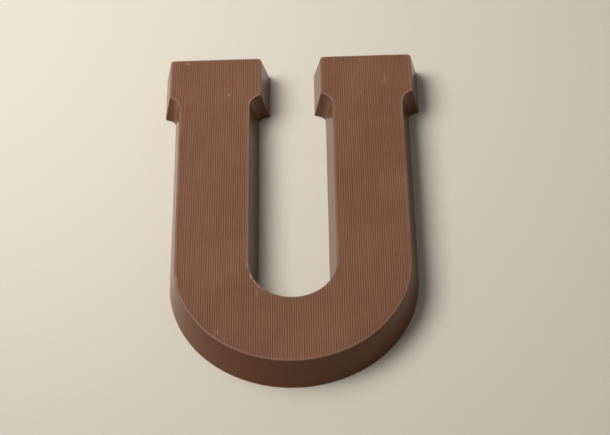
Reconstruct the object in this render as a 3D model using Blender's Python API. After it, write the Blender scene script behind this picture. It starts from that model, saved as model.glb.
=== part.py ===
"""A moulded milk chocolate letter U, lying on its flat back with the ribbed face up.

It is one solid. Its walls slope outwards from the ribbed face down to the back, as
they must to leave the mould, and each stem ends in a serif with a hollow bracket
under it. Fine ribs run along the letter, right to the rounded rim of the face.

Metres, +Z up. X runs across the letter, +Y towards its serifs. The origin lies on
the back, in the middle of the letter's footprint.
"""

from math import cos, pi, sin

import bmesh
import bpy

# Driving dimensions, in metres. Plan sizes are those of the ribbed face.
THICKNESS = 0.0144
STEM_SPAN = 0.0936
STEM_WIDTH = 0.0294
STRAIGHT_LENGTH = 0.1094
INNER_BEND_RISE = 0.0004
OUTER_DRAFT = 0.0029
INNER_DRAFT = 0.0032

# Serifs: how far each stands out from its stem, and how long its straight side is.
SERIF_OUTWARD = 0.0044
SERIF_INWARD = 0.0047
SERIF_SIDE = 0.0210
SERIF_CORNER_RADIUS = 0.0015

# Brackets: the drop from a serif's lower corner to the stem, at the face and at the
# back, and the share of that drop by which the curve already falls at the corner.
BRACKET_DROP_FACE = 0.0069
BRACKET_DROP_BACK = 0.0037
BRACKET_FALL = 0.28

# Ribs on the face, and the rounded rim where the face meets the walls.
RIB_PITCH = 0.00093
RIB_DEPTH = 0.00016
RIB_CREST_SHARE = 0.35
RIB_GROOVE_SHARE = 0.15
RIM_RADIUS = 0.0005

# Straight facets along each curve.
OUTER_BEND_FACETS = 18
INNER_BEND_FACETS = 12
BRACKET_FACETS = 6
CORNER_FACETS = 3
RIM_FACETS = 3

# How far the blanks reach past the finished solid before they are cut to it, and the
# gap under which points left by the cut are joined.
OVERCUT = 0.002
JOIN_GAP = 0.00002

MILK_CHOCOLATE = (0.205, 0.095, 0.052, 1.0)
CHOCOLATE_ROUGHNESS = 0.42

OUTER_RADIUS = STEM_SPAN / 2
INNER_RADIUS = OUTER_RADIUS - STEM_WIDTH
BEND_CENTRE_Y = (OUTER_RADIUS - STRAIGHT_LENGTH) / 2


def clear_scene():
    """Remove whatever objects the open file has."""
    for obj in list(bpy.data.objects):
        bpy.data.objects.remove(obj, do_unlink=True)


def arc(centre, radius, start, end, facets):
    """Points of a circular arc, both ends included."""
    angles = [start + (end - start) * i / facets for i in range(facets + 1)]
    return [(centre[0] + radius * cos(a), centre[1] + radius * sin(a)) for a in angles]


def bracket(corner, foot):
    """Points from a serif's lower corner down to its stem, along one hollow curve."""
    fall = (corner[1] - foot[1]) * BRACKET_FALL
    bend = (foot[0], corner[1] - fall)
    points = []
    for i in range(BRACKET_FACETS + 1):
        t = i / BRACKET_FACETS
        weights = ((1 - t) ** 2, 2 * t * (1 - t), t ** 2)
        points.append(tuple(
            weights[0] * corner[k] + weights[1] * bend[k] + weights[2] * foot[k] for k in (0, 1)
        ))
    return points


def outline(drop_share, inset):
    """The letter's outline, anticlockwise seen from above.

    drop_share is 0 at the face and 1 at the back, where the draft is whole. inset
    draws the outline in everywhere, as the rounded rim does.
    """
    outward = OUTER_DRAFT * drop_share - inset
    inward = INNER_DRAFT * drop_share - inset
    outer = OUTER_RADIUS + outward
    inner = INNER_RADIUS - inward
    serif_outer = OUTER_RADIUS + SERIF_OUTWARD + outward
    serif_inner = INNER_RADIUS - SERIF_INWARD - inward
    head = BEND_CENTRE_Y + STRAIGHT_LENGTH + outward
    corner_y = BEND_CENTRE_Y + STRAIGHT_LENGTH - SERIF_SIDE + inset
    drop = BRACKET_DROP_FACE + (BRACKET_DROP_BACK - BRACKET_DROP_FACE) * drop_share
    round_centre_y = head - SERIF_CORNER_RADIUS
    inner_centre = (0.0, BEND_CENTRE_Y + INNER_BEND_RISE)

    half = arc((0.0, BEND_CENTRE_Y), outer, -pi / 2, 0.0, OUTER_BEND_FACETS)
    half += reversed(bracket((serif_outer, corner_y), (outer, corner_y - drop)))
    half += arc((serif_outer - SERIF_CORNER_RADIUS, round_centre_y),
                SERIF_CORNER_RADIUS, 0.0, pi / 2, CORNER_FACETS)
    half += arc((serif_inner + SERIF_CORNER_RADIUS, round_centre_y),
                SERIF_CORNER_RADIUS, pi / 2, pi, CORNER_FACETS)
    half += bracket((serif_inner, corner_y), (inner, corner_y - drop))
    half += arc(inner_centre, inner, 0.0, -pi / 2, INNER_BEND_FACETS)
    # The two ends of the half lie on the letter's middle line and are used once.
    return half + [(-x, y) for x, y in reversed(half[1:-1])]


def wall_levels():
    """Height, draft share and inset of each outline, from the back to above the face."""
    levels = [(0.0, 1.0, 0.0)]
    for i in range(RIM_FACETS + 1):
        angle = (pi / 2) * i / RIM_FACETS
        height = THICKNESS - RIM_RADIUS + RIM_RADIUS * sin(angle)
        levels.append((height, 1 - height / THICKNESS, RIM_RADIUS * (1 - cos(angle))))
    levels.append((THICKNESS + OVERCUT, 0.0, RIM_RADIUS))
    return levels


def letter_blank():
    """The drafted letter with its rounded rim, carried on straight above the face."""
    mesh = bmesh.new()
    rings = []
    for height, drop_share, inset in wall_levels():
        rings.append([mesh.verts.new((x, y, height)) for x, y in outline(drop_share, inset)])
    count = len(rings[0])
    for lower, upper in zip(rings, rings[1:]):
        for i in range(count):
            j = (i + 1) % count
            mesh.faces.new((lower[i], lower[j], upper[j], upper[i]))
    mesh.faces.new(list(reversed(rings[0])))
    mesh.faces.new(rings[-1])
    bmesh.ops.triangulate(mesh, faces=mesh.faces[:])
    return mesh


def rib_profile():
    """Points across the ribs: (x, height), with one rib's crest on the middle line."""
    ribs = int((OUTER_RADIUS + SERIF_OUTWARD) / RIB_PITCH) + 3
    crest = RIB_PITCH * RIB_CREST_SHARE / 2
    groove = RIB_PITCH * RIB_GROOVE_SHARE / 2
    points = []
    for i in range(-ribs, ribs + 1):
        middle = i * RIB_PITCH
        points.append((middle - RIB_PITCH / 2 + groove, THICKNESS - RIB_DEPTH))
        points.append((middle - crest, THICKNESS))
        points.append((middle + crest, THICKNESS))
        points.append((middle + RIB_PITCH / 2 - groove, THICKNESS - RIB_DEPTH))
    return points


def ribbed_slab():
    """A slab as long as the letter, whose upper side is the ribbed face."""
    mesh = bmesh.new()
    ends = []
    reach = (STRAIGHT_LENGTH + OUTER_RADIUS) / 2 + OUTER_DRAFT + OVERCUT
    profile = rib_profile()
    section = [(profile[0][0], -OVERCUT)] + profile + [(profile[-1][0], -OVERCUT)]
    for y in (-reach, reach):
        ends.append([mesh.verts.new((x, y, z)) for x, z in section])
    count = len(section)
    for i in range(count):
        j = (i + 1) % count
        mesh.faces.new((ends[0][i], ends[1][i], ends[1][j], ends[0][j]))
    mesh.faces.new(ends[0])
    mesh.faces.new(list(reversed(ends[1])))
    bmesh.ops.recalc_face_normals(mesh, faces=mesh.faces[:])
    return mesh


def add_object(name, mesh):
    """Put a finished bmesh into the scene as an object."""
    data = bpy.data.meshes.new(name)
    mesh.to_mesh(data)
    mesh.free()
    obj = bpy.data.objects.new(name, data)
    bpy.context.scene.collection.objects.link(obj)
    return obj


def chocolate():
    """Plain milk chocolate."""
    material = bpy.data.materials.new("milk_chocolate")
    material.use_nodes = True
    shader = material.node_tree.nodes["Principled BSDF"]
    shader.inputs["Base Color"].default_value = MILK_CHOCOLATE
    shader.inputs["Roughness"].default_value = CHOCOLATE_ROUGHNESS
    shader.inputs["Metallic"].default_value = 0.0
    return material


def build_letter():
    """Cut the drafted blank to the ribbed slab, and finish it as one solid."""
    letter = add_object("chocolate_letter", letter_blank())
    slab = add_object("ribbed_slab_cutter", ribbed_slab())
    slab.hide_render = True
    slab.display_type = "WIRE"
    cut = letter.modifiers.new("ribbed face", "BOOLEAN")
    cut.operation = "INTERSECT"
    cut.solver = "EXACT"
    cut.object = slab
    join = letter.modifiers.new("join near points", "WELD")
    join.merge_threshold = JOIN_GAP
    letter.data.materials.append(chocolate())
    return letter


clear_scene()
build_letter()
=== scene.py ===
"""Models and finishes a moulded milk chocolate letter U around its packed frame.

The letter lies on its flat back. Its face carries fine ribs that run along the
stems and stop at a thin rounded bead, and its walls are smooth and slope outwards
to the back. Metres, +Z up, in the frame's own coordinates.
"""

import math
import random

import bmesh
import bpy
from mathutils import Matrix, Vector


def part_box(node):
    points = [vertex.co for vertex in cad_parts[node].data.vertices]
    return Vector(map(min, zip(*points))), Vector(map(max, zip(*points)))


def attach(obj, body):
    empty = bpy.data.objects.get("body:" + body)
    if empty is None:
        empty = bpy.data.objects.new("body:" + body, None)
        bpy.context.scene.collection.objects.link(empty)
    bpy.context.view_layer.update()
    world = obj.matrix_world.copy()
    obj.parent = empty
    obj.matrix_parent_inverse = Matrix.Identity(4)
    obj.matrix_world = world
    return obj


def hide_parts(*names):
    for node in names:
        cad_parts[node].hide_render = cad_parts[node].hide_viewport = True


bl_info = {
    "name": "Moulded chocolate letter",
    "version": (1, 0, 0),
    "blender": (4, 5, 0),
    "location": "View3D > Sidebar > Chocolate letter",
    "description": "Models a ribbed milk chocolate letter over its packed frame",
    "category": "Object",
}

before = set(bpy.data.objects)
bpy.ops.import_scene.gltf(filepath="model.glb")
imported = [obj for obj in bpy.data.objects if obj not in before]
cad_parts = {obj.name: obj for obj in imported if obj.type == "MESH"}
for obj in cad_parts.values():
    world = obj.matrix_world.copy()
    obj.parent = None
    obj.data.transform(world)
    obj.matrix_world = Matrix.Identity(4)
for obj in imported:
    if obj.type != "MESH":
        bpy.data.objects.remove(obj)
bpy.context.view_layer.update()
SOLID_LOW, SOLID_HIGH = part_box("chocolate_letter")

# Points closer than this are one point, and a place matches within it.
SAME_PLACE = 0.000002
# The mesh attribute that is one on smooth skin and nought on the ribs.
PLAIN_SKIN = "plain_skin"
# Slot numbers of the two kinds of skin, which their faces carry while they are cut.
SMOOTH = 0
RIBBED = 1
# Bevel profiles: a circle's arc, and a curve close to a parabola.
CIRCLE = 0.5
PARABOLA = 0.5625

# The draft and the serifs, from which the face's own sizes follow.
OUTER_DRAFT = 0.0029
SERIF_OUTWARD = 0.0044


def length_property(name, description, default, precision=3):
    """A property that holds a length in metres."""
    return bpy.props.FloatProperty(
        name=name, description=description, default=default, min=0.0,
        unit="LENGTH", subtype="DISTANCE", precision=precision,
    )


def colour_property(name, description, default):
    """A property that holds a colour in linear light."""
    return bpy.props.FloatVectorProperty(
        name=name, description=description, default=default, size=4,
        min=0.0, max=1.0, subtype="COLOR",
    )


def share_property(name, description, default):
    """A property that holds a share between nought and one."""
    return bpy.props.FloatProperty(
        name=name, description=description, default=default, min=0.0, max=1.0,
        subtype="FACTOR",
    )


class LetterSizes(bpy.types.PropertyGroup):
    """Sizes of the cast letter, in plan at the ribbed face unless named otherwise."""

    thickness: length_property(
        "Thickness", "From the back to the face", SOLID_HIGH.z - SOLID_LOW.z)
    stem_span: length_property(
        "Stem span", "Over both stems",
        SOLID_HIGH.x - SOLID_LOW.x - 2 * (OUTER_DRAFT + SERIF_OUTWARD))
    stem_width: length_property("Stem width", "Across one stem", 0.0294)
    outer_draft: length_property(
        "Outer draft", "How far the outer walls spread down to the back", OUTER_DRAFT)
    inner_draft: length_property(
        "Inner draft", "How far the inner walls spread down to the back", 0.0032)
    inner_bend_rise: length_property(
        "Inner bend rise", "Height of the inner bend's centre over the outer one's", 0.0004)
    serif_outward: length_property(
        "Serif outward", "How far a serif stands out past its stem", SERIF_OUTWARD)
    serif_inward: length_property(
        "Serif inward", "How far a serif reaches into the gap", 0.0047)
    serif_side: length_property("Serif side", "Straight side of a serif", 0.0210)
    serif_round: length_property(
        "Serif corner", "Radius of the two corners of a serif's head", 0.0015)
    bracket_drop_face: length_property(
        "Bracket drop, face", "Fall of the hollow bracket under a serif", 0.0069)
    bracket_drop_back: length_property(
        "Bracket drop, back", "The same fall at the back", 0.0037)
    bracket_fall: share_property(
        "Bracket fall", "Share of the drop by which the curve falls at the corner", 0.28)
    rim_radius: length_property(
        "Rim radius", "Rounding where the face meets the walls", 0.00035, 5)
    back_radius: length_property(
        "Back edge radius", "Rounding where the walls meet the back", 0.00035, 5)
    crease_radius: length_property(
        "Crease", "How far the rounding of a serif's lower corner reaches", 0.0004, 5)
    wall_unevenness: length_property(
        "Wall unevenness", "Height of the slow waves in the cast walls", 0.00010, 6)
    back_unevenness: length_property(
        "Back unevenness", "Height of the marks and waves in the scraped back", 0.00014, 6)


class RibSizes(bpy.types.PropertyGroup):
    """Sizes of the fine ribs on the face."""

    pitch: length_property("Pitch", "From one crest to the next", 0.00093, 5)
    depth: length_property("Depth", "From a crest down to a groove", 0.00016, 5)
    crest_share: share_property("Crest share", "Share of the pitch that is crest", 0.35)
    groove_share: share_property("Groove share", "Share of the pitch that is groove", 0.15)
    crest_softening: length_property(
        "Crest softening", "How far the rounding of a crest's edge reaches", 0.00012, 6)
    groove_softening: length_property(
        "Groove softening", "How far the rounding of a groove's edge reaches", 0.00006, 6)
    bead: length_property(
        "Bead", "Width of the plain bead between the ribs and the walls", 0.00080, 5)
    sink: length_property("Sink", "How far the crests lie under the bead", 0.000015, 6)
    unevenness: length_property(
        "Unevenness", "Change of height from rib to rib", 0.00004, 6)
    sway: length_property("Sway", "Slow change of height over the face", 0.00003, 6)


class FlawSizes(bpy.types.PropertyGroup):
    """Sizes of the small flaws of the casting."""

    bubble_count: bpy.props.IntProperty(
        name="Bubbles", description="How many small air bubbles show", default=46, min=1)
    bubble_smallest: length_property(
        "Smallest bubble", "Radius of the smallest bubble", 0.00014, 6)
    bubble_largest: length_property(
        "Largest bubble", "Radius of the largest bubble", 0.00055, 6)
    crumb_size: length_property("Crumb", "Width of a crumb on the face", 0.0007, 5)


class ChocolateLook(bpy.types.PropertyGroup):
    """Colours and gloss of the milk chocolate."""

    body: colour_property("Body", "Milk chocolate", (0.192, 0.0826, 0.0424, 1.0))
    deep: colour_property("Deep", "Darker clouds in the chocolate", (0.168, 0.0704, 0.0350, 1.0))
    # The walls' deeper colour is painted shade: the same chocolate, darkened as if the walls lay
    # out of the light.
    wall_painted_shade: colour_property(
        "Wall", "The glossier walls, which look deeper", (0.128, 0.045, 0.015, 1.0))
    # This pale colour serves rubbed and dusty chocolate and the crumbs, and also the painted sheen
    # and highlights on crests, bead and rib ends.
    scuffed_and_sheen: colour_property("Scuffed", "Rubbed or dusty chocolate", (0.330, 0.200, 0.140, 1.0))
    # How far the walls take on the painted shade.
    wall_painted_shade_share: share_property(
        "Wall share", "How far the walls take on their deeper colour", 0.8)
    fleck_share: share_property("Flecks", "How pale the fine flecks are", 0.08)
    # Paler crests: partly rubbed chocolate, partly painted sheen on the tops of the ribs.
    crest_rub_and_sheen: share_property("Crest haze", "How pale every crest is", 0.080)
    crest_rub_streaks_and_sheen: share_property(
        "Crest streaks", "How much paler the rubbed stretches of a crest are", 0.17)
    # Paler bead: partly rubbed chocolate, partly a painted highlight along the rim.
    bead_rub_and_highlight: share_property("Bead haze", "How pale the plain bead is", 0.07)
    bead_rub_streaks_and_highlight: share_property(
        "Bead streaks", "How much paler the rubbed stretches of the bead are", 0.12)
    face_roughness: share_property("Face roughness", "Of the ribbed face", 0.34)
    wall_roughness: share_property("Wall roughness", "Of the smooth cast walls", 0.22)
    back_roughness: share_property("Back roughness", "Of the scraped back", 0.52)


class StageLook(bpy.types.PropertyGroup):
    """The floor, the lights and the camera."""

    floor: colour_property("Floor", "The pale floor", (0.655, 0.595, 0.495, 1.0))
    floor_size: length_property("Floor size", "Side of the square floor", 6.0)
    near_power: bpy.props.FloatProperty(
        name="Near light", description="Power of the soft light beside the letter",
        default=0.63, min=0.0, unit="POWER")
    near_width: length_property("Near light width", "Its side across the stems", 0.33)
    near_length: length_property("Near light length", "Its side along the stems", 0.40)
    near_spread: bpy.props.FloatProperty(
        name="Near light beam", description="Angle that the near light's beam fills",
        default=math.radians(90.0), subtype="ANGLE")
    near_place: bpy.props.FloatVectorProperty(
        name="Near light place", description="Where the near light hangs",
        default=(-0.28, 0.14, 0.44), subtype="TRANSLATION", unit="LENGTH")
    near_aim: bpy.props.FloatVectorProperty(
        name="Near light aim", description="The point that the near light is turned to",
        default=(-0.10, 0.12, 0.0), subtype="TRANSLATION", unit="LENGTH")
    far_strength: bpy.props.FloatProperty(
        name="Far light", description="Strength of the far light on the whole floor",
        default=1.47, min=0.0)
    far_spread: bpy.props.FloatProperty(
        name="Far light spread", description="Angle over which the far light is spread",
        default=math.radians(32.0), subtype="ANGLE")
    far_place: bpy.props.FloatVectorProperty(
        name="Far light direction", description="Direction from the letter to the far light",
        default=(-0.60, -0.03, 0.80), subtype="DIRECTION")
    fill_strength: bpy.props.FloatProperty(
        name="Fill", description="Strength of the even light all round", default=0.19, min=0.0)
    fill_colour: colour_property(
        "Fill colour", "Colour of the light all round", (1.0, 0.975, 0.94, 1.0))
    lens: bpy.props.FloatProperty(
        name="Lens", description="The camera's focal length in millimetres",
        default=111.876, min=1.0, unit="CAMERA")
    azimuth: bpy.props.FloatProperty(
        name="Azimuth", description="Turn of the camera round the letter",
        default=math.radians(1.4438), subtype="ANGLE")
    elevation: bpy.props.FloatProperty(
        name="Elevation", description="Height of the camera over the floor",
        default=math.radians(51.6515), subtype="ANGLE")
    roll: bpy.props.FloatProperty(
        name="Roll", description="Turn of the camera about its own view",
        default=math.radians(-2.806), subtype="ANGLE")
    distance: length_property("Distance", "From the camera to its target", 0.775943)
    target: bpy.props.FloatVectorProperty(
        name="Target", description="The point that the camera looks at",
        default=(0.0047388, 0.0019119, 0.0), subtype="TRANSLATION", unit="LENGTH")


# Modelling, as by hand


def deselect_objects():
    """Leave no object selected, the frame's own nodes included."""
    for obj in bpy.context.selected_objects:
        obj.select_set(False)


def take(obj):
    """Select this object alone and make it the active one."""
    deselect_objects()
    obj.select_set(True)
    bpy.context.view_layer.objects.active = obj


def edit(obj):
    """Open this object in edit mode."""
    take(obj)
    bpy.ops.object.mode_set(mode="EDIT")


def leave_edit():
    """Go back to object mode."""
    bpy.ops.object.mode_set(mode="OBJECT")


def pick(kind, test):
    """In edit mode, select only the vertices, edges or faces that pass the test."""
    bpy.ops.mesh.select_mode(type=kind)
    bpy.ops.mesh.select_all(action="DESELECT")
    data = bpy.context.object.data
    mesh = bmesh.from_edit_mesh(data)
    found = {"VERT": mesh.verts, "EDGE": mesh.edges, "FACE": mesh.faces}[kind]
    for item in found:
        if test(item):
            item.select_set(True)
    mesh.select_flush_mode()
    bmesh.update_edit_mesh(data)


def at_height(item, height):
    """Whether all of an edge's or face's corners lie at this height."""
    return all(abs(corner.co.z - height) < SAME_PLACE for corner in item.verts)


def near(vertex, x, y):
    """Whether a vertex stands at this place in plan."""
    return abs(vertex.co.x - x) < SAME_PLACE and abs(vertex.co.y - y) < SAME_PLACE


def apply_modifier(obj, kind, name, settings):
    """Add a modifier with these settings to the object, and apply it."""
    modifier = obj.modifiers.new(name, kind)
    for key, value in settings.items():
        setattr(modifier, key, value)
    take(obj)
    bpy.ops.object.modifier_apply(modifier=modifier.name)


def settle(obj, name):
    """Name a new object and put its place into its mesh."""
    take(obj)
    bpy.ops.object.transform_apply(location=True, rotation=True, scale=True)
    obj.name = name
    obj.data.name = name
    return obj


def join(objects, name):
    """Join the objects into the first of them."""
    take(objects[0])
    for obj in objects[1:]:
        obj.select_set(True)
    bpy.ops.object.join()
    objects[0].name = name
    return objects[0]


def number_faces(obj, number):
    """Give all of an object's faces one slot number, which they keep when they are cut."""
    for _ in (SMOOTH, RIBBED):
        obj.data.materials.append(None)
    for polygon in obj.data.polygons:
        polygon.material_index = number


def merge_close_points(obj):
    """Merge the points that cuts leave almost on top of each other."""
    edit(obj)
    bpy.ops.mesh.select_all(action="SELECT")
    bpy.ops.mesh.remove_doubles(threshold=SAME_PLACE)
    leave_edit()


def check_closed(obj):
    """Stop where the mesh has an open or a doubled edge, as a failed cut leaves."""
    mesh = bmesh.new()
    mesh.from_mesh(obj.data)
    faults = sum(not edge.is_manifold for edge in mesh.edges)
    loose = sum(not vertex.link_faces for vertex in mesh.verts)
    mesh.free()
    if faults or loose:
        raise RuntimeError(f"{obj.name} has {faults} open edges and {loose} loose points")


def cut_away(target, cutter):
    """Take the cutter's shape out of the target, and remove the cutter."""
    apply_modifier(target, "BOOLEAN", "cut", {
        "operation": "DIFFERENCE", "solver": "EXACT", "object": cutter,
    })
    bpy.data.objects.remove(cutter)


def keep_inside(target, limit):
    """Keep what the target shares with the limit, and remove the limit."""
    apply_modifier(target, "BOOLEAN", "trim", {
        "operation": "INTERSECT", "solver": "EXACT", "object": limit,
    })
    bpy.data.objects.remove(limit)


def make_uneven(obj, name, size, height, stretch=1.0, direction="NORMAL"):
    """Move the surface by a soft noise of this size, drawn out along Y by stretch."""
    guide = bpy.data.objects.new(name + "_guide", None)
    guide.scale = (size, size * stretch, size)
    bpy.context.scene.collection.objects.link(guide)
    bpy.context.view_layer.update()
    texture = bpy.data.textures.new(name, "CLOUDS")
    texture.noise_scale = 1.0
    texture.noise_depth = 1
    apply_modifier(obj, "DISPLACE", name, {
        "texture": texture, "texture_coords": "OBJECT", "texture_coords_object": guide,
        "direction": direction, "strength": height, "mid_level": 0.5,
    })
    bpy.data.objects.remove(guide)
    bpy.data.textures.remove(texture)


# The letter's outline


class Outline:
    """The letter's outline at one level, traced as by hand from its lowest point.

    drop_share is 0 at the face and 1 at the back, where the draft is whole, and
    inset draws the whole outline in.
    """

    BEND_STEPS = 72
    INNER_BEND_STEPS = 40
    STEM_STEPS = 40
    SERIF_STEPS = 10
    HEAD_STEPS = 18
    ROUND_STEPS = 8
    BRACKET_STEPS = 12
    CORNER_STEPS = 4

    def __init__(self, sizes, drop_share=0.0, inset=0.0):
        outward = sizes.outer_draft * drop_share - inset
        inward = sizes.inner_draft * drop_share - inset
        straight = (SOLID_HIGH.y - SOLID_LOW.y) - sizes.stem_span / 2 - 2 * sizes.outer_draft
        self.bend_y = (sizes.stem_span / 2 - straight) / 2
        self.inner_bend_y = self.bend_y + sizes.inner_bend_rise
        self.outer = sizes.stem_span / 2 + outward
        self.inner = sizes.stem_span / 2 - sizes.stem_width - inward
        self.serif_outer = self.outer + sizes.serif_outward
        self.serif_inner = self.inner - sizes.serif_inward
        self.head = self.bend_y + straight + outward
        self.corner = self.bend_y + straight - sizes.serif_side + inset
        face_drop, back_drop = sizes.bracket_drop_face, sizes.bracket_drop_back
        drop = face_drop + (back_drop - face_drop) * drop_share
        self.foot = self.corner - drop
        self.bracket_bend = self.corner - drop * sizes.bracket_fall
        self.round = sizes.serif_round
        self.crease = sizes.crease_radius

    def draw_to(self, x, y, steps=1):
        """Extrude the end of the outline in a straight line to a point."""
        step = ((x - self.pen[0]) / steps, (y - self.pen[1]) / steps, 0.0)
        for _ in range(steps):
            bpy.ops.mesh.extrude_vertices_move(TRANSFORM_OT_translate={"value": step})
        self.pen = (x, y)

    def round_corner(self, x, y, steps, profile=CIRCLE, reach=None):
        """Bevel the outline's vertex at a place, over the whole of its edges or a reach."""
        pick("VERT", lambda v: near(v, x, y))
        if reach is None:
            width = {"offset_type": "PERCENT", "offset_pct": 100.0}
        else:
            width = {"offset_type": "OFFSET", "offset": reach}
        bpy.ops.mesh.bevel(affect="VERTICES", segments=steps, profile=profile, **width)

    def trace(self, height):
        """The whole outline as a closed loop of edges at this height."""
        bpy.ops.mesh.primitive_circle_add(
            vertices=4 * self.BEND_STEPS, radius=self.outer, fill_type="NOTHING",
            location=(0.0, self.bend_y, height))
        loop = settle(bpy.context.object, "outline")
        edit(loop)
        pick("VERT", lambda v: v.co.x < -SAME_PLACE or v.co.y > self.bend_y + SAME_PLACE)
        bpy.ops.mesh.delete(type="VERT")
        pick("VERT", lambda v: near(v, self.outer, self.bend_y))
        self.pen = (self.outer, self.bend_y)
        self.draw_to(self.outer, self.foot, self.STEM_STEPS)
        self.draw_to(self.outer, self.bracket_bend)
        self.draw_to(self.serif_outer, self.corner)
        self.draw_to(self.serif_outer, self.head - self.round, self.SERIF_STEPS)
        self.draw_to(self.serif_outer, self.head)
        self.draw_to(self.serif_outer - self.round, self.head)
        self.draw_to(self.serif_inner + self.round, self.head, self.HEAD_STEPS)
        self.draw_to(self.serif_inner, self.head)
        self.draw_to(self.serif_inner, self.head - self.round)
        self.draw_to(self.serif_inner, self.corner, self.SERIF_STEPS)
        self.draw_to(self.inner, self.bracket_bend)
        self.draw_to(self.inner, self.foot)
        self.draw_to(self.inner, self.inner_bend_y, self.STEM_STEPS)
        bpy.ops.mesh.spin(
            steps=self.INNER_BEND_STEPS, angle=math.pi / 2,
            center=(0.0, self.inner_bend_y, height), axis=(0.0, 0.0, 1.0))
        for x in (self.serif_outer, self.serif_inner):
            self.round_corner(x, self.head, self.ROUND_STEPS)
            self.round_corner(x, self.corner, self.CORNER_STEPS, reach=self.crease)
        for x in (self.outer, self.inner):
            self.round_corner(x, self.bracket_bend, self.BRACKET_STEPS, PARABOLA)
        bpy.ops.mesh.select_all(action="SELECT")
        bpy.ops.mesh.remove_doubles(threshold=SAME_PLACE)
        leave_edit()
        apply_modifier(loop, "MIRROR", "other half", {
            "use_axis": (True, False, False), "merge_threshold": SAME_PLACE,
        })
        return loop


def loft(levels, name, cuts=0):
    """Bridge the outlines at the given (outline, height) levels into a closed solid."""
    heights = [height for _, height in levels]
    body = join([outline.trace(height) for outline, height in levels], name)
    edit(body)
    for lower, upper in zip(heights, heights[1:]):
        pick("EDGE", lambda e: at_height(e, lower) or at_height(e, upper))
        bpy.ops.mesh.bridge_edge_loops(number_cuts=cuts, interpolation="LINEAR")
    for height in (heights[0], heights[-1]):
        pick("EDGE", lambda e: at_height(e, height))
        bpy.ops.mesh.edge_face_add()
    bpy.ops.mesh.select_all(action="SELECT")
    bpy.ops.mesh.normals_make_consistent(inside=False)
    leave_edit()
    return body


# Shader maths


class Signal:
    """A node's output. Python's own operators on it add Math nodes."""

    def __init__(self, finish, socket):
        self.finish = finish
        self.socket = socket

    def math(self, operation, first, second):
        """A Math node's result."""
        return self.finish.add("ShaderNodeMath", {"operation": operation}, {0: first, 1: second})

    def __add__(self, other):
        return self.math("ADD", self, other)

    def __radd__(self, other):
        return self.math("ADD", other, self)

    def __sub__(self, other):
        return self.math("SUBTRACT", self, other)

    def __rsub__(self, other):
        return self.math("SUBTRACT", other, self)

    def __mul__(self, other):
        return self.math("MULTIPLY", self, other)

    def __rmul__(self, other):
        return self.math("MULTIPLY", other, self)


class Finish:
    """A material whose nodes are added one by one."""

    # A Mix node has its own pair of sockets, and its own output, for each kind of value.
    FLOAT_PAIR = (2, 3)
    COLOUR_PAIR = (6, 7)
    COLOUR_OUTPUT = 2
    # A spot's edge: how far noise breaks it up, and where it starts and ends to fade.
    SPOT_BREAK = 1.2
    SPOT_FADE = (0.5, 1.5)

    def __init__(self, name):
        self.material = bpy.data.materials.new(name)
        self.material.use_nodes = True
        self.tree = self.material.node_tree
        self.tree.nodes.clear()

    def add(self, kind, settings=None, inputs=None, output=0):
        """Add a node: its settings first, then its inputs, and give back one output."""
        node = self.tree.nodes.new(kind)
        for key, value in (settings or {}).items():
            setattr(node, key, value)
        for key, value in (inputs or {}).items():
            if isinstance(value, Signal):
                self.tree.links.new(value.socket, node.inputs[key])
            else:
                node.inputs[key].default_value = value
        return Signal(self, node.outputs[output]) if node.outputs else None

    def place(self):
        """Object coordinates."""
        return self.add("ShaderNodeTexCoord", output="Object")

    def part(self, vector, axis):
        """One coordinate of a vector."""
        return self.add("ShaderNodeSeparateXYZ", inputs={0: vector}, output=axis)

    def stretched(self, vector, scale):
        """A vector multiplied coordinate by coordinate."""
        return self.add("ShaderNodeVectorMath", {"operation": "MULTIPLY"},
                        {0: vector, 1: scale})

    def noise(self, vector, scale, detail=2.0, roughness=0.5):
        """Soft noise from nought to one; scale is in waves per metre."""
        return self.add("ShaderNodeTexNoise", {"noise_dimensions": "3D"}, {
            "Vector": vector, "Scale": scale, "Detail": detail, "Roughness": roughness,
        })

    def ramp(self, value, low, high):
        """A soft step: nought below low, one above high."""
        return self.add("ShaderNodeMapRange", {"interpolation_type": "SMOOTHSTEP"}, {
            "Value": value, "From Min": low, "From Max": high, "To Min": 0.0, "To Max": 1.0,
        })

    def blend(self, share, first, second):
        """A colour between two others."""
        inputs = {"Factor": share, **dict(zip(self.COLOUR_PAIR, (first, second)))}
        return self.add("ShaderNodeMix", {"data_type": "RGBA"}, inputs, self.COLOUR_OUTPUT)

    def between(self, share, first, second):
        """A number between two others."""
        inputs = {"Factor": share, **dict(zip(self.FLOAT_PAIR, (first, second)))}
        return self.add("ShaderNodeMix", {"data_type": "FLOAT"}, inputs)

    def spot(self, vector, centre, reach, noise):
        """A soft oval spot round a place, with an edge broken up by noise."""
        scale = (1 / reach[0], 1 / reach[1], 0.0)
        away = self.add("ShaderNodeVectorMath", {"operation": "SUBTRACT"},
                        {0: vector, 1: centre})
        distance = self.add("ShaderNodeVectorMath", {"operation": "LENGTH"},
                            {0: self.stretched(away, scale)}, output="Value")
        return 1.0 - self.ramp(distance + noise * self.SPOT_BREAK, *self.SPOT_FADE)

    def bump(self, height, strength, distance):
        """A normal tilted by a height."""
        return self.add("ShaderNodeBump", inputs={
            "Height": height, "Strength": strength, "Distance": distance,
        }, output="Normal")

    def surface(self, inputs):
        """Close the material with a Principled shader."""
        shader = self.add("ShaderNodeBsdfPrincipled", inputs=inputs)
        self.add("ShaderNodeOutputMaterial", inputs={"Surface": shader})
        return self.material


# Depths under the face between which it gives way to the walls, and the heights over the
# back between which the back does.
FACE_FADE = (0.0002, 0.0006)
BACK_FADE = (0.00025, 0.00045)
# The share of a rib's depth, from the face down, that counts as its crest.
CREST_FOOT = 0.7
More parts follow.
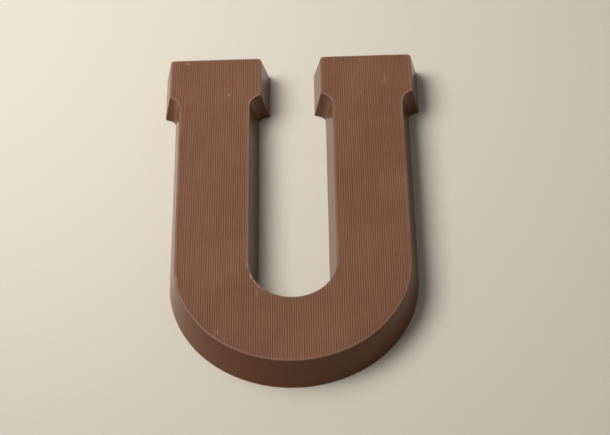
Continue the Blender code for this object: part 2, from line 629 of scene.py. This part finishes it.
# Waves per metre of the streaks on the crests and the bead, partly rubbed and partly painted sheen:
# across the ribs, along them, and upwards.
STREAK_WAVES = (900.0, 70.0, 900.0)
# How far slow patches change the roughness, and how much the paleness of rubbing and painted sheen
# adds to it.
PATCH_SHARE = 0.06
RUB_AND_SHEEN_DULLING = 0.5
# The share of the face's fine grain that the walls and the back have.
WALL_GRAIN = 0.25
# Rubbed places on the face, of which the first five, along the inner left bend, are partly painted
# glints where the rib ends catch the light: where each lies in plan, how far it reaches, and its
# strength.
SCUFFS_AND_GLINTS = (
    (-0.0181, -0.0325, 0.0010, 0.0032, 0.65),
    (-0.0164, -0.0375, 0.0010, 0.0022, 0.95),
    (-0.0148, -0.0402, 0.0011, 0.0022, 0.90),
    (-0.0132, -0.0428, 0.0010, 0.0020, 0.75),
    (-0.0143, -0.0463, 0.0010, 0.0030, 0.35),
    (-0.0262, 0.0570, 0.0006, 0.0022, 0.45),
    (-0.0440, 0.0763, 0.0018, 0.0016, 0.40),
    (0.0395, 0.0640, 0.0012, 0.0035, 0.25),
    (0.0293, 0.0573, 0.0022, 0.0008, 0.35),
    (-0.0458, -0.0385, 0.0010, 0.0030, 0.70),
    (-0.0294, -0.0642, 0.0015, 0.0020, 0.30),
)


def milk_chocolate(look, sizes, ribs):
    """Satin ribbed face, glossier walls and a dull scraped back, all of one chocolate; the walls'
    deeper colour is painted shade, and the paler crests and bead are partly rubbed chocolate and
    partly painted sheen.
    """
    finish = Finish("milk_chocolate")
    place = finish.place()
    height = finish.part(place, "Z")
    top = sizes.thickness
    face = finish.ramp(height, low=top - FACE_FADE[1], high=top - FACE_FADE[0])
    back = 1.0 - finish.ramp(height, *BACK_FADE)

    clouds = finish.noise(place, scale=45.0, detail=3.0, roughness=0.55)
    colour = finish.blend(finish.ramp(clouds, low=0.38, high=0.68), look.deep, look.body)
    # Painted shade: the walls, between the face and the back, take the darker wall colour.
    colour = finish.blend((1.0 - face) * (1.0 - back) * look.wall_painted_shade_share, colour, look.wall_painted_shade)
    grain = finish.noise(place, scale=2600.0, detail=2.0, roughness=0.6)
    flecks = finish.ramp(grain, low=0.62, high=0.78) * look.fleck_share
    colour = finish.blend(flecks, colour, look.scuffed_and_sheen)

    plain = finish.add("ShaderNodeAttribute", {"attribute_name": PLAIN_SKIN}, output="Fac")
    rim = finish.ramp(height, low=top - sizes.rim_radius, high=top - sizes.rim_radius / 2)
    bead = plain * rim
    crest = finish.ramp(height, low=top - ribs.depth * CREST_FOOT, high=top - ribs.sink)
    # Streak noise: where crests and bead are paler, partly rubbing and partly painted sheen; it
    # also breaks up the spots' edges.
    rubbed = finish.noise(
        finish.stretched(place, STREAK_WAVES), scale=1.0, detail=3.0, roughness=0.6)
    streaks = finish.ramp(rubbed, low=0.30, high=0.80)
    # Paler crests and bead: partly rubbed chocolate, partly painted sheen on the ribs' tops and a
    # painted highlight along the rim.
    rub_and_sheen = (crest * (streaks * look.crest_rub_streaks_and_sheen + look.crest_rub_and_sheen)
            + bead * (streaks * look.bead_rub_streaks_and_highlight + look.bead_rub_and_highlight))
    # Rubbed spots; those along the inner left bend are partly painted glints where the rib ends
    # catch the light.
    for x, y, reach_x, reach_y, share in SCUFFS_AND_GLINTS:
        rub_and_sheen = rub_and_sheen + finish.spot(place, (x, y, top), (reach_x, reach_y), rubbed) * face * share
    colour = finish.blend(rub_and_sheen, colour, look.scuffed_and_sheen)

    roughness = finish.between(face, look.wall_roughness, look.face_roughness)
    roughness = finish.between(back, roughness, look.back_roughness)
    patches = finish.noise(place, scale=120.0, detail=3.0, roughness=0.6)
    roughness = roughness + (patches - 0.5) * PATCH_SHARE + rub_and_sheen * RUB_AND_SHEEN_DULLING

    fine = finish.noise(place, scale=2500.0, detail=3.0, roughness=0.6)
    fine = fine * (WALL_GRAIN + face * (1.0 - WALL_GRAIN))
    normal = finish.bump(fine, strength=0.15, distance=0.00001)
    return finish.surface({
        "Base Color": colour, "Roughness": roughness, "Normal": normal,
        "IOR": 1.45, "Specular IOR Level": 0.25,
    })


# How far a crumb takes on the rubbed colour, at least and at most.
CRUMB_PALENESS = (0.3, 0.9)


def crumb_chocolate(look):
    """The dusty, paler surface of broken chocolate."""
    finish = Finish("crumb_chocolate")
    place = finish.place()
    grain = finish.noise(place, scale=1800.0, detail=3.0, roughness=0.6)
    share = finish.between(finish.ramp(grain, low=0.35, high=0.65), *CRUMB_PALENESS)
    colour = finish.blend(share, look.body, look.scuffed_and_sheen)
    fine = finish.noise(place, scale=6000.0)
    normal = finish.bump(fine, strength=0.4, distance=0.00003)
    return finish.surface({"Base Color": colour, "Roughness": 0.6, "Normal": normal})


# The share of the floor's colour that its dimmest clouds keep.
FLOOR_DIMMEST = 0.985


def pale_floor(look):
    """A matt, nearly even floor."""
    finish = Finish("pale_floor")
    clouds = finish.noise(finish.place(), scale=3.0)
    dimmer = tuple(FLOOR_DIMMEST * part for part in look.floor[:3]) + (1.0,)
    colour = finish.blend(clouds, look.floor, dimmer)
    return finish.surface({"Base Color": colour, "Roughness": 0.75})


class CHOCOLATE_OT_cast_letter(bpy.types.Operator):
    """Model the letter with its drafted walls, its ribs and its scraped back"""

    bl_idname = "chocolate_letter.cast_letter"
    bl_label = "Cast the letter"
    bl_options = {"REGISTER", "UNDO"}

    WALL_ROWS = 11
    RIM_STEPS = 5
    BACK_STEPS = 3
    RIB_ROWS = 60
    CREST_STEPS = 3
    GROOVE_STEPS = 2
    BACK_COLUMNS = 120
    BACK_ROWS = 60
    # How far a cutter reaches past what it cuts.
    OVERCUT = 0.001
    # Edges sharper than this stay sharp in the shading.
    SHARP_ANGLE = math.radians(40.0)
    # Sizes of the unevenness: waves in the walls, the face and the back, and the marks
    # that scraping leaves, with how far marks and ribs are drawn out along the letter.
    WALL_WAVE = 0.012
    FACE_WAVE = 0.025
    BACK_WAVE = 0.018
    SCRAPE_WIDTH = 0.0022
    SCRAPE_STRETCH = 9.0
    RIB_STRETCH = 60.0
    BUBBLE_SEED = 11
    # Most bubbles are near the smallest size: their share of the range is a draw from
    # nought to one, raised to this power.
    BUBBLE_POWER = 3
    # How far a bubble's centre stands out of the skin, in shares of its radius.
    BUBBLE_STAND = (0.2, 0.7)
    # In the largest bubble's radii: the room between centres, and that under the face.
    BUBBLE_ROOM = 4
    BUBBLE_DEPTH = 3

    def execute(self, context):
        sizes = context.scene.letter_sizes
        ribs = context.scene.rib_sizes
        letter = self.blank(sizes)
        number_faces(letter, SMOOTH)
        air = self.air_over_ribs(sizes, ribs)
        field = self.rib_field(sizes, ribs)
        number_faces(air, RIBBED)
        number_faces(field, RIBBED)
        keep_inside(air, field)
        cut_away(letter, air)
        cut_away(letter, self.air_under_back(sizes))
        cut_away(letter, self.bubbles(context.scene.flaw_sizes, letter))
        merge_close_points(letter)
        check_closed(letter)
        take(letter)
        bpy.ops.object.shade_smooth_by_angle(angle=self.SHARP_ANGLE)
        self.note_plain_skin(letter)
        letter.data.materials.clear()
        letter.data.materials.append(milk_chocolate(context.scene.chocolate_look, sizes, ribs))
        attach(letter, "root")
        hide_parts("chocolate_letter")
        return {"FINISHED"}

    def note_plain_skin(self, letter):
        """Write on the mesh which of its points lie on smooth skin."""
        plain = letter.data.attributes.new(PLAIN_SKIN, "FLOAT", "POINT")
        for polygon in letter.data.polygons:
            if polygon.material_index == SMOOTH:
                for vertex in polygon.vertices:
                    plain.data[vertex].value = 1.0
            polygon.material_index = 0

    def blank(self, sizes):
        """The letter with smooth walls and a plain face."""
        top = sizes.thickness
        body = loft([(Outline(sizes, 1.0), 0.0), (Outline(sizes, 0.0), top)],
                    "letter", self.WALL_ROWS)
        edit(body)
        pick("EDGE", lambda e: at_height(e, top))
        bpy.ops.mesh.bevel(
            affect="EDGES", offset_type="OFFSET", offset=sizes.rim_radius,
            segments=self.RIM_STEPS, profile=CIRCLE, clamp_overlap=False)
        pick("EDGE", lambda e: at_height(e, 0.0))
        bpy.ops.mesh.bevel(
            affect="EDGES", offset_type="OFFSET", offset=sizes.back_radius,
            segments=self.BACK_STEPS, profile=CIRCLE, clamp_overlap=False)
        leave_edit()
        make_uneven(body, "wall_waves", self.WALL_WAVE, sizes.wall_unevenness)
        return body

    def air_under_back(self, sizes):
        """A slab of air whose upper side is the scraped back, a little uneven."""
        room = 2 * self.OVERCUT
        width = SOLID_HIGH.x - SOLID_LOW.x + room
        length = SOLID_HIGH.y - SOLID_LOW.y + room
        bpy.ops.mesh.primitive_grid_add(
            x_subdivisions=self.BACK_COLUMNS, y_subdivisions=self.BACK_ROWS, size=length,
            location=(0.0, 0.0, sizes.back_unevenness))
        air = settle(bpy.context.object, "air_under_back")
        edit(air)
        bpy.ops.transform.resize(value=(width / length, 1.0, 1.0))
        leave_edit()
        uneven = sizes.back_unevenness
        make_uneven(air, "scraped", self.SCRAPE_WIDTH, uneven, self.SCRAPE_STRETCH, "Z")
        make_uneven(air, "poured", self.BACK_WAVE, uneven, direction="Z")
        edit(air)
        pick("EDGE", lambda e: e.is_boundary)
        bpy.ops.mesh.extrude_region_move(
            TRANSFORM_OT_translate={"value": (0.0, 0.0, -self.OVERCUT)})
        bpy.ops.transform.resize(
            value=(1.0, 1.0, 0.0), center_override=(0.0, 0.0, -self.OVERCUT))
        bpy.ops.mesh.edge_face_add()
        bpy.ops.mesh.select_all(action="SELECT")
        bpy.ops.mesh.normals_make_consistent(inside=False)
        leave_edit()
        return air

    def bubbles(self, flaws, letter):
        """Small balls of air that stand on the walls and the back, sunk by part of their size."""
        draw = random.Random(self.BUBBLE_SEED)
        low, high = flaws.bubble_smallest, flaws.bubble_largest
        limit = SOLID_HIGH.z - self.BUBBLE_DEPTH * high
        sites = [p for p in letter.data.polygons if p.center.z < limit]
        weights = [p.area for p in sites]
        balls = []
        taken = []
        while len(balls) < flaws.bubble_count:
            face = draw.choices(sites, weights)[0]
            radius = low + (high - low) * draw.random() ** self.BUBBLE_POWER
            place = face.center + face.normal * radius * draw.uniform(*self.BUBBLE_STAND)
            if any((place - other).length < self.BUBBLE_ROOM * high for other in taken):
                continue
            taken.append(place)
            bpy.ops.mesh.primitive_ico_sphere_add(subdivisions=2, radius=radius, location=place)
            balls.append(settle(bpy.context.object, "bubble"))
        return join(balls, "bubbles")

    def rib_field(self, sizes, ribs):
        """The room that the ribs may take: inside the bead, with sides that slope at 45 degrees."""
        top = sizes.thickness
        inner = Outline(sizes, inset=ribs.bead + self.OVERCUT)
        outer = Outline(sizes, inset=ribs.bead - self.OVERCUT)
        return loft([(inner, top - self.OVERCUT), (outer, top + self.OVERCUT)], "rib_field")

    def air_over_ribs(self, sizes, ribs):
        """A slab of air whose underside is the ribbed face."""
        crest_height = sizes.thickness - ribs.sink
        groove_height = crest_height - ribs.depth
        crest = ribs.pitch * ribs.crest_share
        groove = ribs.pitch * ribs.groove_share
        slope = (ribs.pitch - crest - groove) / 2
        side_ribs = math.ceil(SOLID_HIGH.x / ribs.pitch)
        length = SOLID_HIGH.y - SOLID_LOW.y
        bpy.ops.mesh.primitive_plane_add(
            size=length, location=(-side_ribs * ribs.pitch, 0.0, crest_height))
        air = settle(bpy.context.object, "air_over_ribs")
        edit(air)
        bpy.ops.transform.resize(value=(crest / length, 1.0, 1.0))
        pick("EDGE", lambda e: abs(e.verts[0].co.x - e.verts[1].co.x) < SAME_PLACE)
        bpy.ops.mesh.subdivide(number_cuts=self.RIB_ROWS - 1)
        right = max(v.co.x for v in bmesh.from_edit_mesh(air.data).verts)
        pick("EDGE", lambda e: all(v.co.x > right - SAME_PLACE for v in e.verts))
        for move in ((slope, 0.0, -ribs.depth), (groove, 0.0, 0.0), (slope, 0.0, ribs.depth)):
            bpy.ops.mesh.extrude_region_move(TRANSFORM_OT_translate={"value": move})
        leave_edit()
        apply_modifier(air, "ARRAY", "ribs", {
            "count": 2 * side_ribs + 1, "use_relative_offset": False,
            "use_constant_offset": True, "constant_offset_displace": (ribs.pitch, 0.0, 0.0),
            "use_merge_vertices": True, "merge_threshold": SAME_PLACE,
        })
        edit(air)
        for height, reach, steps in (
            (crest_height, ribs.crest_softening, self.CREST_STEPS),
            (groove_height, ribs.groove_softening, self.GROOVE_STEPS),
        ):
            pick("EDGE", lambda e: at_height(e, height) and not e.is_boundary
                 and abs(e.verts[0].co.x - e.verts[1].co.x) < SAME_PLACE)
            bpy.ops.mesh.bevel(affect="EDGES", offset_type="OFFSET", offset=reach,
                               segments=steps, profile=CIRCLE)
        leave_edit()
        make_uneven(air, "rib_to_rib", ribs.pitch, ribs.unevenness, self.RIB_STRETCH, "Z")
        make_uneven(air, "sway", self.FACE_WAVE, ribs.sway, direction="Z")
        edit(air)
        pick("EDGE", lambda e: e.is_boundary)
        bpy.ops.mesh.extrude_region_move(
            TRANSFORM_OT_translate={"value": (0.0, 0.0, 2 * self.OVERCUT)})
        bpy.ops.transform.resize(
            value=(1.0, 1.0, 0.0), center_override=(0.0, 0.0, sizes.thickness + 2 * self.OVERCUT))
        bpy.ops.mesh.edge_face_add()
        bpy.ops.mesh.select_all(action="SELECT")
        bpy.ops.mesh.normals_make_consistent(inside=False)
        leave_edit()
        return air


class CHOCOLATE_OT_scatter_crumbs(bpy.types.Operator):
    """Lay the few pale crumbs and shavings that cling to the ribbed face"""

    bl_idname = "chocolate_letter.scatter_crumbs"
    bl_label = "Scatter the crumbs"
    bl_options = {"REGISTER", "UNDO"}

    SEED = 5
    SHARP_ANGLE = math.radians(50.0)
    # A crumb's width, length and height beside a ball's, at least and at most.
    WIDTHS = (0.6, 0.9)
    LENGTHS = (1.0, 1.8)
    HEIGHTS = (0.45, 0.7)
    # How far a crumb may be turned either way, and the share of its size that is uneven.
    TURN = 0.5
    UNEVEN_SHARE = 0.35
    # Where the crumbs lie in plan, in metres, and how large each is beside the usual one.
    CRUMBS = (
        (-0.0257, 0.0577, 1.2), (-0.0435, 0.0759, 0.8), (0.0185, 0.0762, 0.9),
        (0.0397, 0.0657, 0.8), (0.0293, 0.0572, 0.9), (-0.0300, -0.0046, 0.6),
        (-0.0290, -0.0646, 1.0), (-0.0455, -0.0375, 0.9), (-0.0145, -0.0453, 0.7),
        (0.0178, -0.0200, 0.6),
    )

    def execute(self, context):
        sizes = context.scene.letter_sizes
        ribs = context.scene.rib_sizes
        draw = random.Random(self.SEED)
        crumbs = []
        for x, y, share in self.CRUMBS:
            crumbs.append(self.crumb(
                (x, y, sizes.thickness - ribs.depth / 2),
                context.scene.flaw_sizes.crumb_size * share, draw))
        piece = join(crumbs, "crumbs")
        check_closed(piece)
        bpy.ops.object.shade_smooth_by_angle(angle=self.SHARP_ANGLE)
        piece.data.materials.clear()
        piece.data.materials.append(crumb_chocolate(context.scene.chocolate_look))
        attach(piece, "root")
        return {"FINISHED"}

    def crumb(self, place, size, draw):
        """One rough crumb, longer along the ribs than across them."""
        bpy.ops.mesh.primitive_ico_sphere_add(subdivisions=3, radius=size / 2, location=place)
        crumb = settle(bpy.context.object, "crumb")
        edit(crumb)
        shares = [draw.uniform(*limits) for limits in (self.WIDTHS, self.LENGTHS, self.HEIGHTS)]
        bpy.ops.transform.resize(value=shares, center_override=place)
        bpy.ops.transform.rotate(
            value=draw.uniform(-self.TURN, self.TURN), orient_axis="Z", center_override=place)
        leave_edit()
        make_uneven(crumb, "crumbled", size * self.UNEVEN_SHARE, size * self.UNEVEN_SHARE)
        return crumb


class CHOCOLATE_OT_set_stage(bpy.types.Operator):
    """Lay the pale floor, hang the soft lights and place the camera"""

    bl_idname = "chocolate_letter.set_stage"
    bl_label = "Set the stage"
    bl_options = {"REGISTER", "UNDO"}

    # The camera's sensor, in millimetres, and how near it sees, in metres.
    SENSOR_WIDTH = 36.0
    NEAREST_SEEN = 0.01
    # The floor lies this far under the letter.
    FLOOR_GAP = 0.00002

    def execute(self, context):
        look = context.scene.stage_look
        self.lay_floor(look)
        self.fill_light(context.scene, look)
        self.near_light(look)
        self.far_light(look)
        self.place_camera(context.scene, look)
        context.scene.view_settings.view_transform = "Standard"
        return {"FINISHED"}

    def lay_floor(self, look):
        """A large square floor just under the letter."""
        bpy.ops.mesh.primitive_plane_add(
            size=look.floor_size, location=(0.0, 0.0, SOLID_LOW.z - self.FLOOR_GAP))
        floor = settle(bpy.context.object, "floor")
        floor.data.materials.append(pale_floor(look))

    def fill_light(self, scene, look):
        """Even light from all round."""
        world = bpy.data.worlds.new("soft_room")
        world.use_nodes = True
        background = world.node_tree.nodes["Background"]
        background.inputs["Color"].default_value = look.fill_colour
        background.inputs["Strength"].default_value = look.fill_strength
        scene.world = world

    def near_light(self, look):
        """A soft light beside the letter, whose beam fades towards the bend."""
        data = bpy.data.lights.new("near_light", "AREA")
        data.shape = "RECTANGLE"
        data.size = look.near_width
        data.size_y = look.near_length
        data.spread = look.near_spread
        data.energy = look.near_power
        self.hang(data, Vector(look.near_place), Vector(look.near_aim))

    def far_light(self, look):
        """A wide, even light from the same side, which keeps the floor pale all round."""
        data = bpy.data.lights.new("far_light", "SUN")
        data.angle = look.far_spread
        data.energy = look.far_strength
        self.hang(data, Vector(look.far_place), Vector((0.0, 0.0, 0.0)))

    def hang(self, data, place, aim):
        """Put a light at a place, turned to its aim, with its long side along the stems."""
        back = (place - aim).normalized()
        across = Vector((0.0, 1.0, 0.0)).cross(back).normalized()
        axes = Matrix((across, back.cross(across), back)).transposed().to_4x4()
        axes.translation = place
        light = bpy.data.objects.new(data.name, data)
        light.matrix_world = axes
        bpy.context.scene.collection.objects.link(light)

    def place_camera(self, scene, look):
        """The camera of the photograph, from its angles about the letter."""
        data = bpy.data.cameras.new("camera")
        data.lens = look.lens
        data.sensor_width = self.SENSOR_WIDTH
        data.clip_start = self.NEAREST_SEEN
        camera = bpy.data.objects.new("camera", data)
        level = math.cos(look.elevation)
        back = Vector((math.sin(look.azimuth) * level, -math.cos(look.azimuth) * level,
                       math.sin(look.elevation)))
        right = Vector((math.cos(look.azimuth), math.sin(look.azimuth), 0.0))
        up = back.cross(right)
        turn = Matrix.Rotation(look.roll, 3, back)
        axes = Matrix((turn @ right, turn @ up, back)).transposed().to_4x4()
        axes.translation = Vector(look.target) + back * look.distance
        camera.matrix_world = axes
        scene.collection.objects.link(camera)
        scene.camera = camera


class CHOCOLATE_PT_letter(bpy.types.Panel):
    """Lists the letter's steps and its sizes"""

    bl_label = "Chocolate letter"
    bl_idname = "CHOCOLATE_PT_letter"
    bl_space_type = "VIEW_3D"
    bl_region_type = "UI"
    bl_category = "Chocolate letter"

    def draw(self, context):
        for operator in OPERATORS:
            self.layout.operator(operator.bl_idname)
        for name, group in PROPERTIES.items():
            box = self.layout.box()
            box.label(text=group.__doc__)
            for key in group.__annotations__:
                box.prop(getattr(context.scene, name), key)


PROPERTIES = {
    "letter_sizes": LetterSizes,
    "rib_sizes": RibSizes,
    "flaw_sizes": FlawSizes,
    "chocolate_look": ChocolateLook,
    "stage_look": StageLook,
}
OPERATORS = (
    CHOCOLATE_OT_cast_letter, CHOCOLATE_OT_scatter_crumbs, CHOCOLATE_OT_set_stage)


def register():
    """Add the classes and the scene's settings."""
    for cls in (*PROPERTIES.values(), *OPERATORS, CHOCOLATE_PT_letter):
        bpy.utils.register_class(cls)
    for name, cls in PROPERTIES.items():
        setattr(bpy.types.Scene, name, bpy.props.PointerProperty(type=cls))


def unregister():
    """Take the classes and the scene's settings away again."""
    for name in PROPERTIES:
        delattr(bpy.types.Scene, name)
    for cls in (*PROPERTIES.values(), *OPERATORS, CHOCOLATE_PT_letter):
        bpy.utils.unregister_class(cls)


def plain(box):
    """A box as plain lists of numbers."""
    return [[float(x) for x in corner] for corner in box]


def main():
    """Make every piece in order."""
    register()
    bpy.ops.chocolate_letter.cast_letter()
    bpy.ops.chocolate_letter.scatter_crumbs()
    bpy.ops.chocolate_letter.set_stage()


if __name__ == "__main__":
    main()
